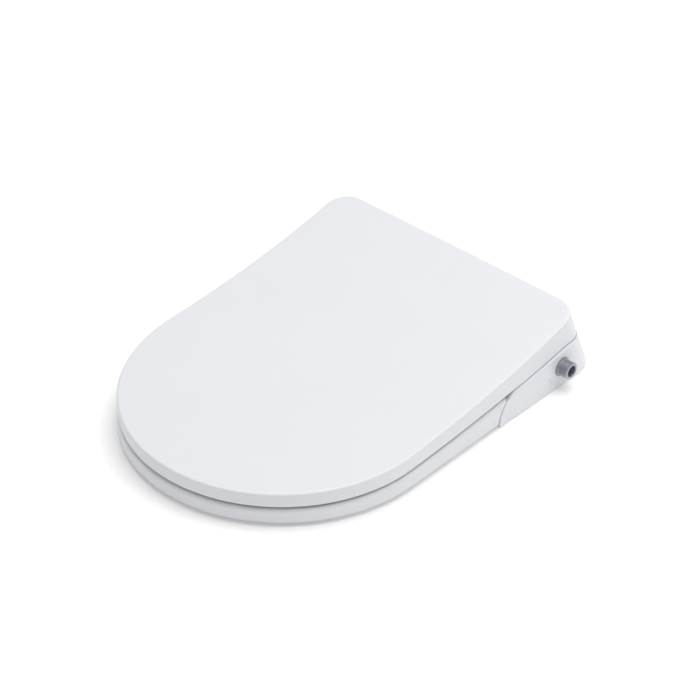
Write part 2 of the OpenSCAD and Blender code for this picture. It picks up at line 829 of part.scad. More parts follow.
module fan_housing() {
    color("dimgray") difference() {
        union() {
            bar(fan_x[0], fan_x[1], fan_y, fan_z, fan_r);
            block([fan_x[0], -36, 26], [fan_x[1], fan_y, 38]);
        }
        bar(fan_x[0] + 1.5, fan_x[1] - 1.5, fan_y, fan_z, fan_r - 1.5);
        block([fan_x[0] + 1.5, -40, 27.5], [fan_x[1] - 1.5, fan_y, 36.5]);
        bar(fan_x[0] - 1, fan_x[0] + 3, fan_y, fan_z, 9);
        bar(fan_x[1] - 3, fan_x[1] + 1, fan_y, fan_z, 2 + run_gap);
    }
}

module fan_wheel() {
    blades = 24;
    color("black") {
        bar(-41, -39, fan_y, fan_z, 15);
        bar(-46, -34, fan_y, fan_z, 2);
        bar(-50, -41, fan_y, fan_z, 5);
        for (i = [0 : blades - 1]) translate([-58, fan_y, fan_z]) rotate([i * 360 / blades, 0, 0])
            translate([0, 11.5, 0]) rotate([25, 0, 0]) cube([17.5, 3.4, 0.8]);
        difference() {
            bar(-59, -57.5, fan_y, fan_z, 15);
            bar(-60, -56, fan_y, fan_z, 11);
        }
    }
}

module dryer_duct() {
    outer = [[-36, 38], [-88, 21], [-92, 12], [-92.5, 7], [-36, 26]];
    inner = [[-35, 36.7], [-96, 16.9], [-96, 7.4], [-35, 27.9]];
    color("gray") difference() {
        across(fan_x[0], -38) polygon(outer);
        across(fan_x[0] + 1.5, -39.5) polygon(inner);
    }
}

// Coiled wires across the duct
module dryer_heater() color("orangered") for (y = [-52, -60, -68])
    bar(fan_x[0] + 1.5, -39.5, y, 24 + (y + 60) * 0.32, 1.2);

module dryer_grille() {
    color("white") difference() {
        across(-60.8, -39.2) front_strip(8.2, 19.8, 2.4);
        for (i = [0 : 3]) block([-59, -97, 9.6 + 2.5 * i], [-41, -92, 10.9 + 2.5 * i]);
    }
}

// --- controls -----------------------------------------------------------------------------------
module board_tray() {
    color("lightgray") difference() {
        block([-170, -52, 27], [-114, 22, 34]);
        block([-168.5, -50.5, 29], [-115.5, 20.5, 35]);
    }
}

module control_board() {
    top = 32.6;
    color("darkgreen") {
        block([-168, -50, 31], [-116, 20, top]);
        for (x = [-164, -122]) for (y = [-46, 14]) translate([x, y, 29]) cylinder(h = 3, r = 2.5, $fn = 24);
        block([-162, -20, top - eps], [-144, -4, 35]);
        block([-136, -44, top - eps], [-124, -28, 42]);
        for (i = [0 : 3]) block([-163 + 12 * i, 6, top - eps], [-155 + 12 * i, 14, 41]);
        for (x = [-158, -146]) translate([x, -38, top - eps]) cylinder(h = 14, r = 4.5, $fn = 32);
        block([-134, -16, top - eps], [-124, -4, 36]);
    }
}

module power_module() {
    color("black") {
        block([-166, -50, floor_t], [-120, -8, 23]);
        block([-160, -46, 23], [-130, -18, 27]);
    }
}

// Outward direction of the rear face, at the gland
module gland_frame() translate([gland_x, rear_foot - gland_z * rear_slope, gland_z])
    rotate([atan(rear_slope) - 90, 0, 0]) children();

// Notch in the rear wall, open to its lower edge, that the gland's plate slides up into
module gland_notch(gap) gland_frame()
    block([-notch_half_w - gap, -notch_top - gap, -wall - 3], [notch_half_w + gap, 30, 10]);

// Small plate between the cover and the base that holds the gland
module gland_plate() {
    color("white") difference() {
        intersection() {
            gland_frame() block([-notch_half_w, -notch_top, -wall], [notch_half_w, 30, 0]);
            block([-far, 0, 0], [far, far, far]);
        }
        gland_frame() translate([0, 0, -20]) cylinder(h = 40, r = gland_r, $fn = 48);
    }
}

// Collar that the mains cord would pass through
module cord_gland() {
    color("dimgray") gland_frame() difference() {
        union() {
            translate([0, 0, -9]) cylinder(h = 11.5, r = gland_r, $fn = 48);
            cylinder(h = 2.5, r = 8.5, $fn = 48);
            translate([0, 0, -wall - 4]) cylinder(h = 4, r = 8.5, $fn = 48);
        }
        translate([0, 0, -10]) cylinder(h = 20, r = 3.6, $fn = 48);
    }
}

panel_x = -housing_half_w;
module aux_panel() {
    color("silver") difference() {
        across(panel_x, panel_x + 2) panel_2d(0);
        for (y = [stop_y, rear_wash_y, front_wash_y]) bar(panel_x - 5, panel_x + 5, y, button_z, button_r + 0.15);
    }
}

module push_button(y) {
    bar(panel_x - 1.5, panel_x + 6, y, button_z, button_r);
    bar(panel_x + 2.3, panel_x + 3.8, y, button_z, button_r + 1.2);
}
module stop_button() color("gainsboro") push_button(stop_y);
module rear_wash_button() color("white") push_button(rear_wash_y);
module front_wash_button() color("white") push_button(front_wash_y);

module button_board() {
    color("darkgreen") {
        block([panel_x + 9.5, -44, 16], [panel_x + 11, 20, 32]);
        for (y = [stop_y, rear_wash_y, front_wash_y]) bar(panel_x + 8, panel_x + 10, y, button_z, 1.8);
        block([panel_x + 11, -44, 16], [panel_x + 12.5, -36, 24]);
    }
}

// Dark window of the seat sensor and the remote's receiver, flush in the deck
module sensor_window() {
    top = lid_top(sensor_place[1]) - deck_drop;
    color("black") translate([sensor_place[0], sensor_place[1], top - 8]) cylinder(h = 7.4, r = sensor_r, $fn = 48);
}

module night_light() color("lightcyan") across(light_span[0], light_span[1]) front_strip(8, 13, 3);

lid_shell();
lid_bumpers();
lid_shaft();
lid_damper();
seat_top();
seat_bottom();
seat_heater();
seat_bumpers();
seat_shaft();
seat_damper();
housing_cover();
base_plate();
mounting_plate();
base_pads();
base_screws();
release_button();
water_inlet();
inlet_filter();
inlet_seal();
solenoid_valve();
flow_sensor();
feed_hose();
heater_tank();
tank_cover();
heater_element();
warm_hose();
diverter_valve();
diverter_motor();
air_pump();
nozzle_carrier();
nozzle_shield();
rear_nozzle();
rear_nozzle_tip();
front_nozzle();
front_nozzle_tip();
rear_nozzle_motor();
front_nozzle_motor();
rear_pinion();
front_pinion();
fan_housing();
fan_wheel();
dryer_duct();
dryer_heater();
dryer_grille();
board_tray();
control_board();
power_module();
cord_gland();
gland_plate();
aux_panel();
stop_button();
rear_wash_button();
front_wash_button();
button_board();
sensor_window();
night_light();
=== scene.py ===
"""Electric bidet seat: the looks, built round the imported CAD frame.

Lengths here are millimetres in the row frame, and become metres when a mesh is made.
"""
import json
from math import atan, cos, pi, radians, sin, sqrt, tan

import bmesh
import bpy
from mathutils import Matrix, Vector


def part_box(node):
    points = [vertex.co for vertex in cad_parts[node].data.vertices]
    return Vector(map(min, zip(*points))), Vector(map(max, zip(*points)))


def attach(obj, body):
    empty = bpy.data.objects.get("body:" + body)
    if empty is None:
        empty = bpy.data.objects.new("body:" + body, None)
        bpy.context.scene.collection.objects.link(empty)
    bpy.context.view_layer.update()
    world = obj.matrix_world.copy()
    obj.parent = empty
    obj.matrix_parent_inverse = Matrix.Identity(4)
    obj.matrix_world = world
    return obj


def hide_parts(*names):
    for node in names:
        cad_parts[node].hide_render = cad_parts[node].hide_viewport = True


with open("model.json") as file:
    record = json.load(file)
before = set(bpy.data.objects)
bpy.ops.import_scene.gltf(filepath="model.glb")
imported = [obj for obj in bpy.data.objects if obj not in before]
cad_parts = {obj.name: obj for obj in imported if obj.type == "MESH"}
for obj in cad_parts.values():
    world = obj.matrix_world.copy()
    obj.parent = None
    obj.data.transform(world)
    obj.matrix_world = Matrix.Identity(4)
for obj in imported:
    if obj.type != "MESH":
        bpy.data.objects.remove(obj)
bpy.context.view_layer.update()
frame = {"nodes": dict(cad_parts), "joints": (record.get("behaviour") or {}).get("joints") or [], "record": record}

MM = 0.001
NODE_BODY = {n: b for b, nodes in frame["record"]["behaviour"]["bodies"].items() for n in nodes}
NODE_SLOT = {p["node"]: p["material_slot"] for p in frame["record"]["subparts"]}


def box_mm(node):
    """Lowest and highest corner of a CAD node, in millimetres."""
    low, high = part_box(node)
    return low / MM, high / MM


# --- heights and outlines, the same as the CAD's --------------------------------------------------
lid_lo, lid_hi = box_mm("lid_shell")
NOSE_R = lid_hi.x
NOSE_Y = lid_lo.y
ARC_Y = NOSE_Y + NOSE_R
LID_FRONT_Y, LID_LENGTH = -405, 520
LID_LOW_FRONT, LID_LOW_REAR, LID_LOW_SPAN, LID_LOW_POWER = 26, 53, 462, 2.9
LID_WALL = 3.2
LID_GAP = 3
LID_CORNER = 30
LID_LEAN = 0.405
LID_REAR_Y = 60.4
LID_FOOT = LID_REAR_Y + LID_LOW_REAR * LID_LEAN
SIDE_TAPER, SIDE_END = 3.6, 100
LID_RISE = (43.6, 6.4, 11.6, 53.5)  # height at the front, then the straight, square and cubic rise
CROWN = 1.1
LIP_START, LIP_RUN, LIP_DROP = -85, 40, 1.0
HINGE_Y, HINGE_Z = (v / MM for v in frame["joints"][0]["pos_m"][1:])
LUG_R = 7.5
SHAFT_R = 4
RUN_GAP = 0.06
RIB_XS = (-120, -60, 60, 120)
LID_BOSSES = ((-112, -330), (112, -330), (-140, -170), (140, -170))


def lid_top(y):
    """Height of the lid's top edge at distance y."""
    s = (y - LID_FRONT_Y) / LID_LENGTH
    return sum(rise * s**power for power, rise in enumerate(LID_RISE))


def lid_low(y):
    """Height of the lid's lower edge."""
    s = max(0, y - NOSE_Y) / LID_LOW_SPAN
    return min(LID_LOW_REAR, LID_LOW_FRONT + (LID_LOW_REAR - LID_LOW_FRONT) * s**LID_LOW_POWER)


def lid_lip(y):
    """Height of the lid's visible lip, which hangs a little nearer to the housing's cheeks."""
    ease = min(1, max(0, (y - LIP_START) / LIP_RUN))
    return lid_low(y) - LIP_DROP * ease * ease * (3 - 2 * ease)


def seat_top(y):
    """Height of the ring's outer top edge."""
    return lid_low(y) - LID_GAP


def crowned(x, y):
    """Top of the lid with its slight crown."""
    out = (x * x + max(0, ARC_Y - y) ** 2) / NOSE_R**2
    return lid_top(y) + CROWN * max(0, 1 - out)


def side_x(y):
    """Half width of the nearly straight sides."""
    return NOSE_R - SIDE_TAPER * (y - ARC_Y) / (SIDE_END - ARC_Y)


def mix(a, b, f):
    return a + (b - a) * f


def steps(count, start=0):
    """Shares from 0 to 1."""
    return [i / count for i in range(start, count + 1)]


# --- meshes ----------------------------------------------------------------------------------------
COUNTS = (44, 30, 12, 16)  # points round the nose, along a side, round a corner and across the rear


def both_halves(right):
    """A closed loop from its right half, which starts and ends on the middle plane."""
    return right + [Vector((-p.x, p.y, p.z)) for p in reversed(right[1:-1])]


def d_loop(inset, z_at, rear_at, across, along):
    """D-shaped loop at a height z_at(x, y). rear_at(z) is where the rear edge lies, and across and along
    are the rear corner's two radii."""
    n_nose, n_side, n_corner, n_rear = COUNTS
    radius = NOSE_R - inset
    shrink = radius / NOSE_R

    def on(x, y):
        return Vector((x, y, z_at(x, y)))

    def ahead_of_rear(x, ahead):
        z = LID_LOW_REAR
        for _ in range(12):
            y = rear_at(z) - ahead
            z = z_at(x, y)
        return Vector((x, y, z))

    corner_y = ahead_of_rear(side_x(0) * shrink, along).y
    corner_x = side_x(corner_y) * shrink - across
    right = [on(radius * sin(pi / 2 * f), ARC_Y - radius * cos(pi / 2 * f)) for f in steps(n_nose)[:-1]]
    for f in steps(n_side)[:-1]:
        y = mix(ARC_Y, corner_y, f)
        right.append(on(side_x(y) * shrink, y))
    for f in steps(n_corner)[:-1]:
        turn = pi / 2 * f
        right.append(ahead_of_rear(corner_x + across * cos(turn), along * (1 - sin(turn))))
    right += [ahead_of_rear(corner_x * (1 - f), 0) for f in steps(n_rear)]
    right[0].x = right[-1].x = 0
    return both_halves(right)


def loft(loops, closed=False):
    """Skin through loops of equal length. A closed one joins its last loop to its first; an open one is
    capped across the middle plane at both ends."""
    bm = bmesh.new()
    rows = [[bm.verts.new(p) for p in loop] for loop in loops]
    n = len(loops[0])
    pairs = list(zip(rows, rows[1:] + rows[:1])) if closed else list(zip(rows, rows[1:]))
    for a, b in pairs:
        for i in range(n):
            bm.faces.new((a[i], a[(i + 1) % n], b[(i + 1) % n], b[i]))
    if not closed:
        for row in (rows[0], rows[-1]):
            for i in range(n // 2):
                corners = [row[i], row[i + 1], row[(n - i - 1) % n], row[(n - i) % n]]
                bm.faces.new(list(dict.fromkeys(corners)))
    bmesh.ops.recalc_face_normals(bm, faces=bm.faces)
    return bm


def to_object(name, bm, scale=MM):
    """A mesh object from a bmesh in millimetres."""
    bmesh.ops.scale(bm, vec=(scale,) * 3, verts=bm.verts)
    mesh = bpy.data.meshes.new(name)
    bm.to_mesh(mesh)
    bm.free()
    obj = bpy.data.objects.new(name, mesh)
    bpy.context.scene.collection.objects.link(obj)
    return obj


def bake(obj):
    """Applies an object's modifiers to its mesh."""
    graph = bpy.context.evaluated_depsgraph_get()
    mesh = bpy.data.meshes.new_from_object(obj.evaluated_get(graph))
    obj.modifiers.clear()
    obj.data = mesh


def smooth(obj, angle=35):
    """Smooth faces, with the edges beyond an angle left sharp."""
    for face in obj.data.polygons:
        face.use_smooth = True
    obj.data.set_sharp_from_angle(angle=radians(angle))


def cut_away(obj, tool):
    """Cuts a tool from an object, and removes the tool."""
    bpy.context.view_layer.update()
    cut = obj.modifiers.new("cut", "BOOLEAN")
    cut.operation, cut.solver, cut.object = "DIFFERENCE", "EXACT", tool
    bake(obj)
    bpy.data.objects.remove(tool)


# How a flat outline stands: side view along X, plan along Z, and front view along Y
SIDE = Matrix(((0, 0, 1), (1, 0, 0), (0, 1, 0))).to_4x4()
PLAN = Matrix.Identity(4)
FRONT = Matrix(((1, 0, 0), (0, 0, -1), (0, 1, 0))).to_4x4()


def plate(outlines, start, end, bevel, stand, segments=3):
    """Bevelled plate as a bmesh: the first outline is its edge, and the others are its holes."""
    curve = bpy.data.curves.new("plate", "CURVE")
    curve.dimensions, curve.fill_mode = "2D", "BOTH"
    for points in outlines:
        spline = curve.splines.new("POLY")
        spline.points.add(len(points) - 1)
        for slot, p in zip(spline.points, points):
            slot.co = (p[0], p[1], 0, 1)
        spline.use_cyclic_u = True
    curve.extrude = (end - start) / 2 - bevel
    curve.bevel_depth, curve.bevel_resolution, curve.offset = bevel, segments, -bevel
    holder = bpy.data.objects.new("plate", curve)
    bpy.context.scene.collection.objects.link(holder)
    bpy.context.view_layer.update()
    mesh = bpy.data.meshes.new_from_object(holder.evaluated_get(bpy.context.evaluated_depsgraph_get()))
    bm = bmesh.new()
    bm.from_mesh(mesh)
    bmesh.ops.remove_doubles(bm, verts=bm.verts, dist=1e-4)
    bmesh.ops.transform(bm, matrix=stand @ Matrix.Translation((0, 0, (start + end) / 2)), verts=bm.verts)
    bmesh.ops.recalc_face_normals(bm, faces=bm.faces)
    bpy.data.objects.remove(holder)
    bpy.data.meshes.remove(mesh)
    return bm


def add_all(bm, others):
    """Joins several bmeshes into one."""
    for other in others:
        mesh = bpy.data.meshes.new("part")
        other.to_mesh(mesh)
        other.free()
        bm.from_mesh(mesh)
        bpy.data.meshes.remove(mesh)
    return bm


def circle(cx, cy, r, count=40):
    return [(cx + r * cos(2 * pi * i / count), cy + r * sin(2 * pi * i / count)) for i in range(count)]


def arc(cx, cy, r, a0, a1, count=12):
    """Arc between two angles in degrees."""
    turns = [radians(mix(a0, a1, f)) for f in steps(count)]
    return [(cx + r * cos(t), cy + r * sin(t)) for t in turns]


def round_corners(points, radius, count=5):
    """Polygon with rounded corners; radius is one number, or one for each corner."""
    radii = radius if isinstance(radius, (list, tuple)) else [radius] * len(points)
    out = []
    for i, here in enumerate(points):
        p, a, b = Vector(here), Vector(points[i - 1]), Vector(points[(i + 1) % len(points)])
        u, v = (a - p).normalized(), (b - p).normalized()
        half = u.angle(v) / 2
        if radii[i] == 0 or half > pi / 2 - 0.02:
            out.append(tuple(p))
            continue
        reach = radii[i] / tan(half)
        centre = p + (u + v).normalized() * (radii[i] / sin(half))
        first, last = p + u * reach - centre, p + v * reach - centre
        for f in steps(count):
            out.append(tuple(centre + first.slerp(last, f)))
    return out


# --- materials -------------------------------------------------------------------------------------
def linear(value):
    """One sRGB channel, 0 to 255, as linear light."""
    v = value / 255
    return v / 12.92 if v <= 0.04045 else ((v + 0.055) / 1.055) ** 2.4


def rgb(*srgb):
    return tuple(linear(v) for v in srgb) + (1,)


class Shader:
    """A Principled material with its object coordinates ready, and short calls for its nodes."""

    def __init__(self, name):
        self.mat = bpy.data.materials.new(name)
        self.mat.use_nodes = True
        self.tree = self.mat.node_tree
        self.bsdf = self.tree.nodes["Principled BSDF"]
        self.coords = self.node("ShaderNodeTexCoord").outputs["Object"]

    def node(self, kind, **values):
        made = self.tree.nodes.new(kind)
        for key, value in values.items():
            setattr(made, key, value)
        return made

    def link(self, source, target):
        self.tree.links.new(source, target)

    def set(self, **values):
        for key, value in values.items():
            self.bsdf.inputs[key.replace("_", " ")].default_value = value

    def noise(self, per_mm, detail=2.0, stretch=None, roughness=0.5):
        """Noise whose grain is about 1 / per_mm millimetres, stretched along an axis where asked."""
        noise = self.node("ShaderNodeTexNoise")
        noise.inputs["Scale"].default_value = per_mm / MM
        noise.inputs["Detail"].default_value = detail
        noise.inputs["Roughness"].default_value = roughness
        source = self.coords
        if stretch:
            mapping = self.node("ShaderNodeMapping")
            mapping.inputs["Scale"].default_value = stretch
            self.link(source, mapping.inputs["Vector"])
            source = mapping.outputs["Vector"]
        self.link(source, noise.inputs["Vector"])
        return noise.outputs["Fac"]

    def span(self, source, low, high, start=0.3, stop=0.7):
        """A value between low and high as the source goes from start to stop."""
        span = self.node("ShaderNodeMapRange")
        for key, value in zip(("From Min", "From Max", "To Min", "To Max"), (start, stop, low, high)):
            span.inputs[key].default_value = value
        self.link(source, span.inputs["Value"])
        return span.outputs["Result"]

    def blend(self, share, first, second):
        """Colour that goes from the first to the second with a share."""
        blend = self.node("ShaderNodeMix", data_type="RGBA")
        blend.inputs[6].default_value, blend.inputs[7].default_value = first, second
        self.link(share, blend.inputs[0])
        return blend.outputs[2]

    def colour(self, output):
        self.link(output, self.bsdf.inputs["Base Color"])

    def roughness(self, output):
        self.link(output, self.bsdf.inputs["Roughness"])

    def bump(self, height, depth_mm, strength=1.0):
        """Bump from a height, chained on any earlier one."""
        bump = self.node("ShaderNodeBump")
        bump.inputs["Distance"].default_value = depth_mm * MM
        bump.inputs["Strength"].default_value = strength
        self.link(height, bump.inputs["Height"])
        normal = self.bsdf.inputs["Normal"]
        if normal.is_linked:
            self.link(normal.links[0].from_socket, bump.inputs["Normal"])
        self.link(bump.outputs["Normal"], normal)


def moulded(name, tone, shade, rough, grain=0.35, depth=0.0015, flow=0.004):
    """Moulded plastic: a faint cloudiness in its colour, uneven gloss, fine grain, and the slow waviness
    that a moulding's skin has."""
    s = Shader(name)
    s.colour(s.blend(s.span(s.noise(0.012, 3), 0, 1), tone, shade))
    s.roughness(s.span(s.noise(0.06, 4, roughness=0.6), rough * 0.88, rough * 1.14))
    s.bump(s.noise(0.02, 0), flow, 0.5)
    s.bump(s.noise(grain, 3), depth)
    s.set(IOR=1.49)
    return s.mat


def rubber(name, tone, shade):
    """Rubber: matt, with a fine powdery grain."""
    s = Shader(name)
    s.colour(s.blend(s.span(s.noise(0.25, 5, roughness=0.7), 0, 1), tone, shade))
    s.roughness(s.span(s.noise(0.8, 3), 0.62, 0.84))
    s.bump(s.noise(2.2, 4, roughness=0.7), 0.03)
    s.set(IOR=1.52)
    return s.mat


def metal(name, tone, shade, rough, stretch=(1, 1, 1), grain=1.2, depth=0.004):
    """Metal with brush marks along an axis, and slight staining."""
    s = Shader(name)
    s.colour(s.blend(s.span(s.noise(0.09, 5, roughness=0.65), 0, 1), tone, shade))
    s.roughness(s.span(s.noise(grain, 3, stretch), rough * 0.75, rough * 1.3))
    s.bump(s.noise(grain * 1.7, 4, stretch), depth)
    s.set(Metallic=1.0)
    return s.mat


def foil(name):
    """Heating foil: gold film with a wire that runs to and fro."""
    s = Shader(name)
    wave = s.node("ShaderNodeTexWave", bands_direction="Y", wave_profile="SIN")
    wave.inputs["Scale"].default_value = 0.06 / MM
    wave.inputs["Distortion"].default_value = 1.5
    s.link(s.coords, wave.inputs["Vector"])
    wire = s.span(wave.outputs["Fac"], 0, 1, 0.9, 0.97)
    s.colour(s.blend(wire, rgb(214, 160, 70), rgb(120, 70, 40)))
    s.roughness(s.span(s.noise(0.3, 3), 0.25, 0.45))
    s.bump(wire, 0.2)
    s.set(Metallic=0.7)
    return s.mat


def board(name):
    """Circuit board: solder mask over copper tracks, with tinned pads."""
    s = Shader(name)
    tracks = s.node("ShaderNodeTexBrick")
    sizes = (("Scale", 0.22 / MM), ("Mortar Size", 0.035), ("Brick Width", 1.7), ("Row Height", 0.6))
    for key, value in sizes:
        tracks.inputs[key].default_value = value
    s.link(s.coords, tracks.inputs["Vector"])
    pads = s.node("ShaderNodeTexVoronoi", feature="F1")
    pads.inputs["Scale"].default_value = 0.28 / MM
    pads.inputs["Randomness"].default_value = 0.55
    s.link(s.coords, pads.inputs["Vector"])
    tinned = s.span(pads.outputs["Distance"], 1, 0, 0.1, 0.14)
    mask = s.blend(tracks.outputs["Fac"], rgb(26, 78, 50), rgb(44, 112, 70))
    final = s.node("ShaderNodeMix", data_type="RGBA")
    s.link(tinned, final.inputs[0])
    s.link(mask, final.inputs[6])
    final.inputs[7].default_value = rgb(190, 190, 186)
    s.colour(final.outputs[2])
    s.roughness(s.span(s.noise(0.4, 3), 0.28, 0.42))
    s.bump(tracks.outputs["Fac"], 0.04)
    s.bump(tinned, 0.06)
    return s.mat


def window(name):
    """Smoked infra-red window: dark, glossy, with a faint haze."""
    s = Shader(name)
    s.colour(s.blend(s.span(s.noise(0.2, 3), 0, 1), rgb(20, 16, 22), rgb(34, 24, 32)))
    s.roughness(s.span(s.noise(0.5, 3), 0.05, 0.12))
    s.bump(s.noise(0.08, 2), 0.01)
    s.set(IOR=1.58, Coat_Weight=0.5)
    return s.mat


def lens(name):
    """Frosted light lens: milky, with fine vertical prisms."""
    s = Shader(name)
    wave = s.node("ShaderNodeTexWave", bands_direction="X", wave_profile="SIN")
    wave.inputs["Scale"].default_value = 0.16 / MM
    s.link(s.coords, wave.inputs["Vector"])
    s.colour(s.blend(s.span(s.noise(0.2, 3), 0, 1), rgb(226, 236, 240), rgb(240, 245, 248)))
    s.roughness(s.span(s.noise(0.7, 3), 0.2, 0.34))
    s.bump(wave.outputs["Fac"], 0.12)
    s.set(Subsurface_Weight=0.25, IOR=1.49)
    s.bsdf.inputs["Subsurface Scale"].default_value = 0.002
    return s.mat


def plated(name):
    """Satin nickel plating with turned rings about the inlet's own axis."""
    s = Shader(name)
    s.colour(s.blend(s.span(s.noise(0.22, 6, roughness=0.7), 0, 1), rgb(186, 189, 195), rgb(150, 153, 159)))
    s.roughness(s.span(s.noise(1.4, 4, (3, 1, 1)), 0.3, 0.52))
    s.bump(s.noise(3.0, 3, (6, 1, 1)), 0.006)
    s.set(Metallic=0.7)
    return s.mat


def floor_paint(name):
    """Plain pale floor, with a barely uneven tone."""
    s = Shader(name)
    s.colour(s.blend(s.span(s.noise(0.004, 2), 0, 1), (0.93, 0.93, 0.93, 1), (0.95, 0.95, 0.95, 1)))
    s.roughness(s.span(s.noise(0.05, 2), 0.85, 0.95))
    s.set(Emission_Color=(1, 1, 1, 1), Emission_Strength=0.12)
    return s.mat


# The whites' gloss stays wholly above 0.28: where it crossed that value, the denoiser left patches
WHITE, WHITE_SHADE = (0.80, 0.808, 0.838, 1), (0.79, 0.799, 0.829, 1)
BUTTON, BUTTON_SHADE = (0.76, 0.765, 0.775, 1), (0.73, 0.735, 0.745, 1)
MATERIALS = {
    "lid_white": moulded("lid_white", WHITE, WHITE_SHADE, 0.34),
    "seat_white": moulded("seat_white", WHITE, WHITE_SHADE, 0.33),
    "housing_white": moulded("housing_white", WHITE, WHITE_SHADE, 0.34, grain=0.5, depth=0.002),
    "button_white": moulded("button_white", BUTTON, BUTTON_SHADE, 0.42, 0.9, 0.012),
    "button_grey": moulded("button_grey", rgb(150, 153, 160), rgb(140, 143, 150), 0.42, 0.9, 0.012),
    "base_grey": moulded("base_grey", rgb(206, 208, 211), rgb(196, 198, 202), 0.5, 1.1, 0.02),
    "pale_rubber": rubber("pale_rubber", rgb(214, 216, 218), rgb(200, 202, 205)),
    "dark_rubber": rubber("dark_rubber", rgb(42, 42, 44), rgb(56, 56, 58)),
    "inlet_metal": plated("inlet_metal"),
    "steel": metal("steel", rgb(205, 206, 208), rgb(188, 189, 192), 0.26, (1, 8, 8)),
    "motor_metal": metal("motor_metal", rgb(196, 197, 196), rgb(178, 178, 174), 0.38, (8, 1, 1)),
    "black_plastic": moulded("black_plastic", rgb(34, 34, 36), rgb(44, 44, 46), 0.46, 0.9, 0.02),
    "valve_ivory": moulded("valve_ivory", rgb(226, 220, 202), rgb(216, 209, 190), 0.4, 0.6, 0.012),
    "hose_blue": rubber("hose_blue", rgb(120, 162, 206), rgb(104, 148, 196)),
    "heater_metal": metal("heater_metal", rgb(186, 150, 120), rgb(140, 116, 108), 0.34),
    "foil_gold": foil("foil_gold"),
    "duct_grey": moulded("duct_grey", rgb(120, 122, 126), rgb(108, 110, 114), 0.5, 0.9, 0.02),
    "board_green": board("board_green"),
    "nozzle_white": moulded("nozzle_white", (0.82, 0.82, 0.82, 1), (0.8, 0.8, 0.8, 1), 0.2, 0.4, 0.004),
    "panel_silver": metal("panel_silver", rgb(198, 200, 204), rgb(186, 188, 192), 0.36, (8, 1, 8)),
    "smoked_window": window("smoked_window"),
    "light_lens": lens("light_lens"),
}


def paint(obj, slot):
    obj.data.materials.clear()
    obj.data.materials.append(MATERIALS[slot])


def piece(obj, *nodes):
    """Makes an object stand for CAD nodes: their finish, their body, and hides them."""
    paint(obj, NODE_SLOT[nodes[0]])
    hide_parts(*nodes)
    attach(obj, NODE_BODY[nodes[0]])
    return obj


# --- lid -------------------------------------------------------------------------------------------
COS_LEAN = cos(atan(LID_LEAN))
# How far in the loops of the lid's top and of its roof lie: close together near the edges
TOP_INSETS = (186, 172, 154, 134, 114, 94, 76, 60, 46, 34, 25, 18, 12, 8, 5)
ROOF_INSETS = (9, 14, 22, 34, 50, 70, 95, 125, 155, 186)


def lid_ring(inset, z_at):
    """Loop of the lid, whose rear face leans forward as it rises."""
    corner = max(LID_CORNER - inset, 0.01)
    foot = LID_FOOT - inset / COS_LEAN
    return d_loop(inset, z_at, lambda z: foot - LID_LEAN * z, corner, corner / COS_LEAN)


def lid_skin():
    """Outside, lip, inside and roof of the lid, from the middle of the top to the middle of the roof."""
    edge, lip, lip_in, inner = 2.6, 1.9, 0.5, 2.5
    roof = lambda x, y: crowned(x, y) - LID_WALL
    loops = [lid_ring(inset, crowned) for inset in TOP_INSETS]
    for f in steps(7):
        turn = pi / 2 * f
        loops.append(lid_ring(edge * (1 - sin(turn)), lambda x, y: crowned(x, y) - edge * (1 - cos(turn))))
    for f in (0.2, 0.4, 0.6, 0.8):
        loops.append(lid_ring(0, lambda x, y: mix(crowned(x, y) - edge, lid_lip(y) + lip, f)))
    for f in steps(4):
        turn = pi / 2 * f
        loops.append(lid_ring(lip * (1 - cos(turn)), lambda x, y: lid_lip(y) + lip * (1 - sin(turn))))
    for f in steps(2):
        turn = pi / 2 * f
        inset, rise = LID_WALL - lip_in * (1 - sin(turn)), lip_in * (1 - cos(turn))
        loops.append(lid_ring(inset, lambda x, y: lid_lip(y) + rise))
    for f in (0.3, 0.65):
        loops.append(lid_ring(LID_WALL, lambda x, y: mix(lid_lip(y) + lip_in, roof(x, y) - inner, f)))
    for f in steps(4):
        turn = pi / 2 * f
        inset, drop = LID_WALL + inner * (1 - cos(turn)), inner * (1 - sin(turn))
        loops.append(lid_ring(inset, lambda x, y: roof(x, y) - drop))
    loops += [lid_ring(inset, roof) for inset in ROOF_INSETS]
    return loft(loops)


def lid_ribs():
    """Ribs under the roof, with soft ends."""
    front, rear, deep, half = -380, -90, 6, 1.2
    made = []
    for x in RIB_XS:
        top = [(y, lid_top(y) - LID_WALL + 1) for y in (mix(front, rear, f) for f in steps(16))]
        back = (mix(rear - deep, front + deep, f) for f in steps(16))
        under = [(y, lid_top(y) - LID_WALL - deep) for y in back]
        made.append(plate([top + under], x - half, x + half, 0.5, SIDE, 1))
    return made


def lid_bosses():
    """Sockets that hold the bumpers."""
    made = []
    for x, y in LID_BOSSES:
        foot = seat_top(y) + 4.3
        made.append(plate([circle(x, y, 8)], foot, lid_top(y) - LID_WALL + 2, 0.6, PLAN))
    return made


def lid_lugs():
    """Hinge lugs that hang from the roof, bored for the shafts."""
    shape = [(38, 89), (38, 67.5)] + arc(HINGE_Y, HINGE_Z, LUG_R, 143, 408, 26) + [(49, 77.5), (44.6, 88.4)]
    bore = circle(HINGE_Y, HINGE_Z, SHAFT_R + RUN_GAP)
    return [plate([shape, bore], x, x + 12, 0.7, SIDE) for x in (-100, 88)]


def make_lid():
    lid = to_object("lid", add_all(lid_skin(), lid_ribs() + lid_bosses() + lid_lugs()))
    smooth(lid, 40)
    return piece(lid, "lid_shell")


